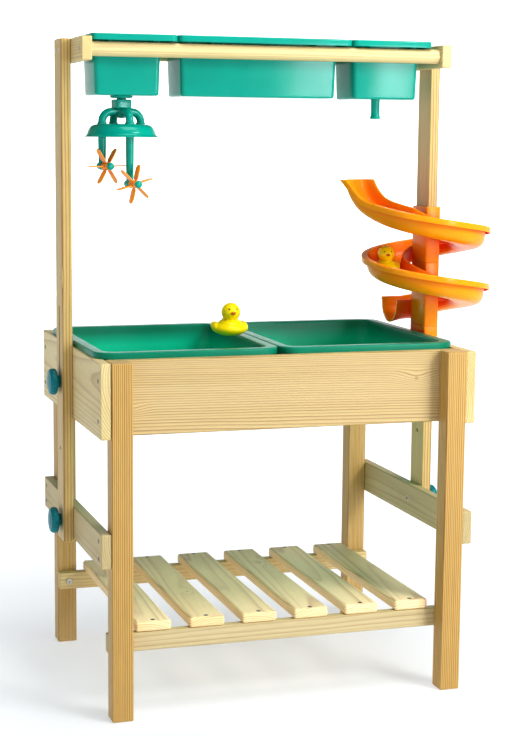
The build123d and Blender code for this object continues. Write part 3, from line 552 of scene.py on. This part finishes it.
joints = {j["name"]: j for j in frame["joints"]}
axle = Vector(joints["water_wheel_long_spin"]["axis"]).normalized()
across = Vector((-axle.y, axle.x, 0)).normalized()
turn = math.atan2(across.y, across.x)
block_low, block_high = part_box("shower_coupling")
dome_low, dome_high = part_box("shower_dome")
arch_z = block_high.z - 0.0235
shape = bmesh.new()
spin = Matrix.Translation((neck_x, neck_y, 0)) @ Matrix.Rotation(turn, 4, "Z")
half = 0.0155
block_path = eased([(0.0092, 0.0092, 0.0092, block_high.z), (half, half, 0.004, block_high.z),
                    (half, half, 0.004, block_high.z - 0.016), (0.0105, 0.0105, 0.006, block_high.z - 0.019),
                    (0.0098, 0.0098, 0.006, block_low.z + 0.013), (0.004, 0.004, 0.003, block_low.z + 0.011)],
                   [0, 0.0018, 0.0014, 0.002, 0.002, 0], 4)
skin(shape, [[spin @ p for p in rounded_ring(0, 0, b[0], b[1], b[2], b[3])] for b in block_path])
arch_radius = 0.040
for quarter in range(4):
    angle = turn + quarter * pi / 2
    outward = Vector((cos(angle), sin(angle), 0))
    origin = Vector((neck_x, neck_y, 0))
    bend = 0.0185
    points = [origin + outward * 0.006 + Vector((0, 0, arch_z))]
    for k in range(13):
        t = k / 12 * pi / 2
        points.append(origin + outward * (arch_radius - bend + bend * sin(t))
                      + Vector((0, 0, arch_z - bend + bend * cos(t))))
    points.append(origin + outward * arch_radius + Vector((0, 0, dome_high.z - 0.001)))
    tube(shape, points, [0.0075] * len(points), 28)
    foot = Matrix.Translation(origin + outward * arch_radius)
    lathe(shape, eased([(0.0001, dome_high.z - 0.001), (0.0092, dome_high.z - 0.001),
                        (0.0092, dome_high.z + 0.002), (0.0072, dome_high.z + 0.0035),
                        (0.0001, dome_high.z + 0.0035)],
                       [0, 0, 0.0008, 0.0008, 0], 3), foot, 32, close=False)
piece("shower_pipes", shape, GREEN, "shower", ["shower_coupling"])

shape = bmesh.new()
rim_radius = (dome_high.x - dome_low.x) / 2
rz, tz = dome_low.z, dome_high.z
outside = [(0.0001, tz), (0.046, tz), (0.058, tz - 0.003), (0.0640, tz - 0.012), (0.0665, rz + 0.004),
           (rim_radius, rz + 0.0012), (rim_radius, rz), (rim_radius - 0.0015, rz)]
inside = [(0.0640, rz + 0.003), (0.0615, tz - 0.013), (0.0555, tz - 0.0052), (0.045, tz - 0.0025),
          (0.0001, tz - 0.0025)]
lathe(shape, eased(outside + inside, [0, 0.010, 0.006, 0.006, 0.004, 0.0004, 0.0004, 0.0004,
                                      0.004, 0.006, 0.006, 0.008, 0], 6),
      Matrix.Translation((neck_x, neck_y, 0)), 96, close=False)
piece("shower_dome_turned", shape, GREEN, "shower", ["shower_dome"])

frame_at = {}
for name in ("short", "long"):
    hub = Vector(joints[f"water_wheel_{name}_spin"]["pos_m"])
    frame_at[name] = Matrix.Translation(hub) @ Matrix((
        (across.x, 0, axle.x, 0), (across.y, 0, axle.y, 0), (0, 1, axle.z, 0), (0, 0, 0, 1)))
    shape = bmesh.new()
    top = dome_high.z - 0.0027
    heights = (top, (top + hub.z) / 2, hub.z + 0.012, hub.z, hub.z - 0.005)
    points = [Vector((hub.x, hub.y, z)) for z in heights]
    tube(shape, points, [0.0081, 0.0076, 0.0070, 0.0068, 0.0058], 32)
    lathe(shape, eased([(0.0027, -0.0078), (0.0072, -0.0078), (0.0078, -0.006), (0.0078, 0.006),
                        (0.0072, 0.0078), (0.0027, 0.0078)],
                       [0, 0.0006, 0.0006, 0.0006, 0.0006, 0], 3), frame_at[name], 36)
    piece(f"down_pipe_{name}_drawn", shape, GREEN, "shower", [f"down_pipe_{name}"])

shape = bmesh.new()
for name in ("short", "long"):
    for start, length in ((0.0385, 0.0072), (-0.0162, 0.0082)):
        outer = start + length if start > 0 else start
        inner = start if start > 0 else start + length
        crest = outer + (0.0006 if start > 0 else -0.0006)
        lathe(shape, eased([(0.0026, inner), (0.0068, inner), (0.0072, (inner + outer) / 2),
                            (0.0056, outer), (0.0001, crest)], [0, 0.0006, 0.003, 0.0026, 0], 4),
              frame_at[name], 36, close=False)
    slot_at = frame_at[name] @ Matrix.Translation((0, 0, 0.0458)) @ Matrix.Rotation(0.35, 4, "Z")
    ridge = [[slot_at @ Vector(p) for p in ((-a, -b, z), (a, -b, z), (a, b, z), (-a, b, z))]
             for a, b, z in ((0.0048, 0.0007, -0.001), (0.0048, 0.0007, 0.0006), (0.0044, 0.0004, 0.0009))]
    skin(shape, ridge)
piece("axle_cap_set", shape, GREEN, "shower", ["axle_caps"])

first = {"short": 0.0, "long": radians(15.0)}
# The rounded edge of a wheel's blade, as (inset, height).
BLADE_EDGE = ((0.0014, -0.0011), (0.0004, -0.0009), (0.0, -0.0003), (0.0, 0.0003), (0.0004, 0.0009),
              (0.0014, 0.0011))
for name in ("short", "long"):
    shape = bmesh.new()
    place = frame_at[name]
    lathe(shape, eased([(0.0027, 0.0092), (0.0070, 0.0092), (0.0078, 0.013), (0.0062, 0.018), (0.0078, 0.0235),
                        (0.0062, 0.0290), (0.0078, 0.0340), (0.0070, 0.0378), (0.0027, 0.0378)],
                       [0, 0.0008, 0.002, 0.002, 0.002, 0.002, 0.002, 0.0008, 0], 4), place, 40)
    for k in range(6):
        tilt = place @ Matrix.Rotation(first[name] + k * pi / 3, 4, "Z")
        rings = []
        for inset, height in BLADE_EDGE:
            ring = []
            for p in rounded_ring(0.0222, 0.0234, 0.0158 - inset, 0.0098 - inset, 0.0093 - inset, 0.0, 8):
                cup = 9.0 * (p.y - 0.0234) ** 2 + 0.9 * (p.x - 0.010) ** 2
                ring.append(tilt @ Vector((p.x, height + cup * 0.9, p.y)))
            rings.append(ring)
        skin(shape, rings)
    piece(f"water_wheel_{name}_moulded", shape, WHEEL, f"water_wheel_{name}", [f"water_wheel_{name}"])


# ---------- knobs ----------
for level in ("lower", "upper"):
    for side in ("left", "right"):
        low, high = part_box(f"knob_{level}_{side}")
        sense = -1 if side == "left" else 1
        face = high.x if sense < 0 else low.x
        reach = high.x - low.x
        radius = (high.z - low.z) / 2
        middle_z = (low.z + high.z) / 2
        place = Matrix.Translation((face, 0, middle_z)) @ Matrix.Rotation(sense * pi / 2, 4, "Y")
        path = eased([(0.0042, 0.0), (0.012, 0.0), (0.0128, 0.0055), (radius - 0.003, 0.0062),
                      (radius, 0.009), (radius, reach - 0.006), (radius - 0.004, reach - 0.0022),
                      (radius - 0.009, reach - 0.0018), (0.010, reach), (0.0001, reach)],
                     [0, 0.001, 0.002, 0.002, 0.003, 0.004, 0.002, 0.003, 0.006, 0], 5)
        shape = bmesh.new()
        rings = []
        for r, h in path:
            ring = []
            for k in range(120):
                angle = 2 * pi * k / 120
                grip = 0.0
                if r > radius - 0.0035 and 0.006 < h:
                    grip = 0.0009 * (0.5 + 0.5 * cos(20 * angle)) ** 2
                ring.append(place @ Vector(((r - grip) * cos(angle), (r - grip) * sin(angle), h)))
            rings.append(ring)
        skin(shape, rings)
        piece(f"knob_{level}_{side}_cap", shape, TEAL, f"knob_{level}_{side}", [f"knob_{level}_{side}"])


# ---------- slide ----------
base_low, base_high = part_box("slide_base")
upper_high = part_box("slide_upper")[1]
slide_x = (base_low.x + base_high.x) / 2
slide_y = (base_low.y + base_high.y) / 2
LIP_RADIUS = 0.133
# The helix's drop in one turn, its rim's height at the right, and where the two mouldings meet.
pitch = 0.119
rim_at_right = 0.891
split_z = 0.825
# Angles in degrees round the post where the two turns meet and where the helix ends; then the outlet.
HELIX_SPLIT, HELIX_END = 90, 450
OUTLET_LONG, OUTLET_STEPS = 0.044, 11

scoop_angle = -148.0
scoop_flare = 0.015
# The lip widens over the last stretch of the scoop's rise.
FLARE_START, FLARE_RISE = 0.030, 0.026
# Distance back from the scoop's start, rise of the rim, depth (all in mm), and lean in degrees.
scoop_sections = [
    (0.0, 0.0, 43.5, 0.0),
    (30.0, 6.0, 41.0, 11.0),
    (55.0, 12.0, 37.0, 24.0),
    (72.0, 19.0, 34.5, 35.0),
    (86.0, 31.0, 32.5, 46.0),
    (96.0, 44.0, 30.0, 60.0),
    (103.0, 56.0, 28.0, 90.0),
]


def rim_height(angle):
    if angle >= 0:
        return rim_at_right - pitch * angle / 360.0
    climb = -angle / 180.0
    return rim_at_right + 0.044 * climb + 0.015 * climb ** 2


def channel(deep=0.0435, lip=LIP_RADIUS - 0.00001, lip_tall=0.0118, flare=0.0, soft=0.0):
    """The channel's rounded section, as (radius, height from the rim); soft turns it into a plain U."""
    out = CHANNEL_OUT + flare
    inn = CHANNEL_IN - flare
    wall = CHANNEL_WALL
    path = [
        (lip - 0.0022, -lip_tall), (lip, -lip_tall), (lip, 0.0), (out - wall, 0.0),
        (out - wall - 0.004, -(0.70 - 0.12 * soft) * deep),
        (out - wall - 0.016 - 0.012 * soft, -0.95 * deep + wall),
        (inn + 0.022 + 0.006 * soft, -deep + wall), (inn + wall + 0.006, -(0.72 - 0.14 * soft) * deep),
        (inn + wall, 0.0),
        (inn - 0.0013, 0.0), (inn - 0.0013, -0.0045), (inn + 0.0004, -0.0060),
        (inn + 0.005, -(0.75 - 0.14 * soft) * deep), (inn + 0.020 + 0.006 * soft, -deep),
        (out - 0.016 - 0.010 * soft, -1.0 * deep), (out - 0.0025, -(0.72 - 0.12 * soft) * deep),
        (out, -0.0040), (lip - 0.0022, -0.0036),
    ]
    radii = [0.0008, 0.0008, 0.0022, 0.0018, 0.012, 0.014, 0.014, 0.014, 0.0014,
             0.0009, 0.0009, 0.0010, 0.012, 0.014, 0.014, 0.012, 0.0010, 0.0010]
    closed = path[-1:] + path + path[:1]
    rounded = eased(closed, [0] + radii + [0], 5)
    return rounded[1:-1]


def section(angle, outline, shift=0.0, rise=0.0, lean=0.0):
    a = radians(angle)
    outward = Vector((cos(a), sin(a), 0))
    onward = Vector((-sin(a), cos(a), 0))
    up = onward * sin(radians(lean)) + Vector((0, 0, 1)) * cos(radians(lean))
    origin = Vector((slide_x, slide_y, rim_height(angle) + rise)) + onward * shift
    return [origin + outward * r + up * h for r, h in outline]


def scoop_rings(steps=6):
    """The entry scoop's sections from its mouth down to the helix, on a smooth curve through the table."""
    first, last = scoop_sections[0], scoop_sections[-1]
    points = [(-30.0, -5.0, first[2], 0.0)] + scoop_sections
    points.append(tuple(2 * a - b for a, b in zip(last, scoop_sections[-2])))
    rings = []
    for i in range(1, len(points) - 2):
        for k in range(steps + (i == len(points) - 3)):
            t = k / steps
            at = [0.5 * (2 * b + (c - a) * t + (2 * a - 5 * b + 4 * c - d) * t * t
                         + (3 * b - a - 3 * c + d) * t ** 3)
                  for a, b, c, d in zip(*points[i - 1:i + 3])]
            back, rise, deep, lean = at[0] * MM, at[1] * MM, at[2] * MM, at[3]
            flared = max(0.0, (rise - FLARE_START) / FLARE_RISE) ** 3
            outline = channel(deep, LIP_RADIUS + scoop_flare * flared)
            rings.append(section(scoop_angle, outline, -back, rise, lean))
    return rings[:0:-1]


def sleeve(shape, low_z, high_z):
    hx, hy = (base_high.x - base_low.x) / 2, (base_high.y - base_low.y) / 2
    wall = 0.004
    path = eased([(hx - wall, hy - wall, 0.0006, low_z), (hx, hy, 0.003, low_z), (hx, hy, 0.003, high_z),
                  (hx - wall, hy - wall, 0.0006, high_z)], [0, 0.0008, 0.0008, 0], 3)
    skin(shape, [rounded_ring(slide_x, slide_y, p[0], p[1], p[2], p[3], 4) for p in path], close=True)


def rib(shape, angle, low_z, high_z):
    a = radians(angle)
    place = Matrix.Translation((slide_x, slide_y, 0)) @ Matrix.Rotation(a, 4, "Z")
    start = 0.014 if abs(cos(a)) > 0.7 else 0.034
    ring_low = [(start, -0.0018), (0.0495, -0.0018), (0.0495, 0.0018), (start, 0.0018)]
    skin(shape, [[place @ Vector((x, y, z)) for x, y in ring_low] for z in (low_z, high_z)])


step = 3
shape = bmesh.new()
turn_rings = [section(scoop_angle, channel())]
turn_rings += [section(a, channel()) for a in range(-147, HELIX_SPLIT + 1, step)]
skin(shape, scoop_rings() + turn_rings)
sleeve(shape, split_z + 0.0002, upper_high.z - 0.0535)
for a in (-90, 0):
    rib(shape, a, rim_height(a) - 0.030, rim_height(a) - 0.007)
piece("slide_upper_turn", shape, ORANGE, "slide", ["slide_upper"], 32)

shape = bmesh.new()
rings = [section(a, channel()) for a in range(HELIX_SPLIT, HELIX_END + 1, step)]
for k in range(1, OUTLET_STEPS + 1):
    t = k / OUTLET_STEPS
    outline = channel(0.0435 + 0.007 * t * t, LIP_RADIUS - 0.0040 * t, 0.0118 - 0.0050 * t, 0.003 * t * t, t)
    rings.append(section(HELIX_END, outline, OUTLET_LONG * t))
skin(shape, rings)
sleeve(shape, base_high.z + 0.0002, split_z)
for a in (270, 360):
    rib(shape, a, rim_height(a) - 0.030, rim_height(a) - 0.007)
piece("slide_lower_turn", shape, ORANGE, "slide", ["slide_lower"], 32)

shape = bmesh.new()
sleeve(shape, base_low.z, base_high.z)
piece("slide_base_sleeve", shape, ORANGE, "slide", ["slide_base"])


# ---------- ducks ----------
def ball(shape, middle, size, rotation=(0, 0, 0), steps=24):
    place = Matrix.Translation(middle)
    for axis, angle in zip("XYZ", rotation):
        place = place @ Matrix.Rotation(angle, 4, axis)
    place = place @ Matrix.Diagonal((*size, 1))
    bmesh.ops.create_uvsphere(shape, u_segments=steps * 2, v_segments=steps, radius=1.0, matrix=place)


def duck(name, body, foot, scale, heading, parts, head=1.0):
    """Hull, tail, wings, neck and head melted into one skin, with a beak and two eyes."""
    turned = Matrix.Translation(foot) @ Matrix.Rotation(heading, 4, "Z") @ Matrix.Scale(scale, 4)
    shape = bmesh.new()
    ball(shape, (0, 0.002, 0.0150), (0.0345, 0.0350, 0.0148))
    ball(shape, (0, 0.002, 0.0225), (0.0250, 0.0280, 0.0140))
    ball(shape, (0, 0.0000, 0.0320), (0.0155, 0.0165, 0.0140))
    ball(shape, (0, -0.0040, 0.0485), (0.0190 * head, 0.0190 * head, 0.0186 * head))
    ball(shape, (0, 0.0290, 0.0270), (0.0090, 0.0120, 0.0070), (0.6, 0, 0))
    for sense in (-1, 1):
        ball(shape, (0.0290 * sense, 0.006, 0.0185), (0.0085, 0.0200, 0.0095), (0.25, 0.25 * sense, 0))
    mesh = bpy.data.meshes.new(name + "_raw")
    shape.to_mesh(mesh)
    shape.free()
    raw = bpy.data.objects.new(name + "_raw", mesh)
    bpy.context.scene.collection.objects.link(raw)
    melt = raw.modifiers.new("melt", "REMESH")
    melt.mode = "VOXEL"
    melt.voxel_size = 0.0011
    soft = raw.modifiers.new("soft", "SMOOTH")
    soft.iterations = 9
    soft.factor = 0.6
    graph = bpy.context.evaluated_depsgraph_get()
    done = bmesh.new()
    done.from_mesh(raw.evaluated_get(graph).to_mesh())
    bpy.data.objects.remove(raw)
    bpy.data.meshes.remove(mesh)
    floor_z = min(v.co.z for v in done.verts)
    for v in done.verts:
        v.co.z = max(v.co.z - floor_z, 0.0006 * (1 - min(1, (v.co.x ** 2 + v.co.y ** 2) / 0.0006)))
    done.transform(turned)
    piece(f"{name}_hull", done, YELLOW, body, [parts[0]], 60)
    shape = bmesh.new()
    ball(shape, (0, -0.0226 * head, 0.0478), (0.0052, 0.0044, 0.0024), (-0.10, 0, 0), 14)
    ball(shape, (0, -0.0218 * head, 0.0458), (0.0044, 0.0038, 0.0018), (0.10, 0, 0), 14)
    shape.transform(turned)
    piece(f"{name}_bill", shape, BEAK, body, [parts[1]], 60)
    shape = bmesh.new()
    for sense in (-1, 1):
        ball(shape, (0.0080 * sense * head, -0.0200 * head, 0.0555), (0.0013, 0.0010, 0.0016),
             (0, 0, 0.4 * sense), 10)
    shape.transform(turned)
    piece(f"{name}_eyes", shape, EYE, body, (), 60)


low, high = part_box("duck_on_bin")
duck("duck_bath", "duck_on_bin", ((low.x + high.x) / 2, (low.y + high.y) / 2, low.z), 1.0, 0.0,
     ("duck_on_bin", "duck_on_bin_beak"))
low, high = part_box("duck_on_slide")
duck("duck_slide", "duck_on_slide", ((low.x + high.x) / 2, (low.y + high.y) / 2, low.z), 0.82, radians(-8.0),
     ("duck_on_slide", "duck_on_slide_beak"), head=1.12)


# ---------- floor, light, camera ----------
floor_material, tree, shader = new_material("studio_floor")
place = add(tree, "ShaderNodeTexCoord").outputs["Object"]
tone = ramp(tree, noise(tree, place, 1.3, 3.0), [(0.3, (0.44, 0.455, 0.475)), (0.7, (0.46, 0.47, 0.485))])
tree.links.new(tone, shader.inputs["Base Color"])
shader.inputs["Roughness"].default_value = 0.7
shader.inputs["Emission Color"].default_value = (0.94, 0.965, 1.0, 1)
behind = vector_maths(tree, "DOT_PRODUCT", place, AWAY).outputs["Value"]
behind = maths(tree, "MAXIMUM", behind, 0.0)
aside = vector_maths(tree, "DOT_PRODUCT", place, ACROSS).outputs["Value"]
reach = maths(tree, "ADD", maths(tree, "MULTIPLY", behind, behind), maths(tree, "MULTIPLY", aside, aside))
reach = maths(tree, "SQRT", reach)
tree.links.new(ramp(tree, maths(tree, "DIVIDE", reach, 4.0), [(0.05, 0.50), (0.34, 0.90)]),
               shader.inputs["Emission Strength"])
tree.links.new(bump(tree, noise(tree, place, 160.0, 2.0), 0.1, 0.0003), shader.inputs["Normal"])
shape = bmesh.new()
bmesh.ops.create_grid(shape, x_segments=8, y_segments=8, size=FLOOR_HALF)
mesh = bpy.data.meshes.new("studio_floor")
shape.to_mesh(mesh)
shape.free()
mesh.materials.append(floor_material)
floor = bpy.data.objects.new("studio_floor", mesh)
floor.location.z = -0.0004
bpy.context.scene.collection.objects.link(floor)

world = bpy.data.worlds.new("studio")
world.use_nodes = True
world.node_tree.nodes["Background"].inputs[0].default_value = (1.0, 1.0, 1.0, 1)
world.node_tree.nodes["Background"].inputs[1].default_value = 0.15
bpy.context.scene.world = world

backdrop_material, tree, shader = new_material("studio_backdrop")
place = add(tree, "ShaderNodeTexCoord").outputs["Object"]
facing = vector_maths(tree, "NORMALIZE", vector_maths(tree, "MULTIPLY", place, (1.0, 1.0, 0.0)).outputs[0],
                      (0, 0, 0)).outputs[0]
facing = vector_maths(tree, "DOT_PRODUCT", facing, AWAY).outputs["Value"]
shader.inputs["Base Color"].default_value = (0.8, 0.8, 0.8, 1)
shader.inputs["Emission Color"].default_value = (1.0, 1.0, 1.0, 1)
tree.links.new(ramp(tree, facing, [(0.84, 0.30), (0.945, 1.0)]), shader.inputs["Emission Strength"])
shape = bmesh.new()
around = [2 * pi * k / BACKDROP_STEPS for k in range(BACKDROP_STEPS)]
arc = [[shape.verts.new((BACKDROP_RADIUS * cos(a), BACKDROP_RADIUS * sin(a), z)) for a in around]
       for z in (-0.01, BACKDROP_TOP)]
for k in range(BACKDROP_STEPS):
    n = (k + 1) % BACKDROP_STEPS
    shape.faces.new((arc[0][k], arc[0][n], arc[1][n], arc[1][k]))
mesh = bpy.data.meshes.new("studio_backdrop")
shape.to_mesh(mesh)
shape.free()
mesh.materials.append(backdrop_material)
backdrop = bpy.data.objects.new("studio_backdrop", mesh)
bpy.context.scene.collection.objects.link(backdrop)


def softbox(name, spot, target, size, watts, colour=(1, 1, 1)):
    data = bpy.data.lights.new(name, "AREA")
    data.shape = "RECTANGLE"
    data.size, data.size_y = size
    data.energy = watts
    data.color = colour
    made = bpy.data.objects.new(name, data)
    made.location = spot
    made.rotation_euler = (Vector(target) - Vector(spot)).to_track_quat("-Z", "Y").to_euler()
    bpy.context.scene.collection.objects.link(made)


softbox("key", (2.0, -2.7, 2.6), (0, 0, 0.75), (1.2, 1.2), 86, (1.0, 0.985, 0.95))
softbox("panel", (1.50, -2.9, 0.95), (0.15, -0.1, 1.0), (0.6, 0.8), 26, (0.90, 0.95, 1.0))
softbox("top", (0.3, -0.9, 3.5), (0, 0, 0.9), (1.8, 1.8), 62)

camera_data = bpy.data.cameras.new("camera")
camera_data.sensor_width = CAMERA_SENSOR
camera_data.lens = CAMERA_LENS
camera_data.clip_end = 60.0
camera = bpy.data.objects.new("camera", camera_data)
yaw, pitch_down, roll = 0.3097, 0.1386, 0.0085
ahead = Vector((sin(yaw) * cos(pitch_down), cos(yaw) * cos(pitch_down), -sin(pitch_down)))
right = Vector((cos(yaw), -sin(yaw), 0))
up = right.cross(ahead)
right_rolled = right * cos(roll) + up * sin(roll)
up_rolled = up * cos(roll) - right * sin(roll)
leg_corner = Vector(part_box("leg_front_left")[0])
camera.matrix_world = Matrix.Translation(leg_corner + Vector(CAMERA_OFFSET)) @ Matrix((
    (right_rolled.x, up_rolled.x, -ahead.x, 0),
    (right_rolled.y, up_rolled.y, -ahead.y, 0),
    (right_rolled.z, up_rolled.z, -ahead.z, 0),
    (0, 0, 0, 1)))
bpy.context.scene.collection.objects.link(camera)
bpy.context.scene.camera = camera
bpy.context.scene.view_settings.view_transform = "Standard"
bpy.context.scene.view_settings.look = "None"
bpy.context.scene.view_settings.exposure = 0.0
bpy.context.scene.view_settings.gamma = 0.86
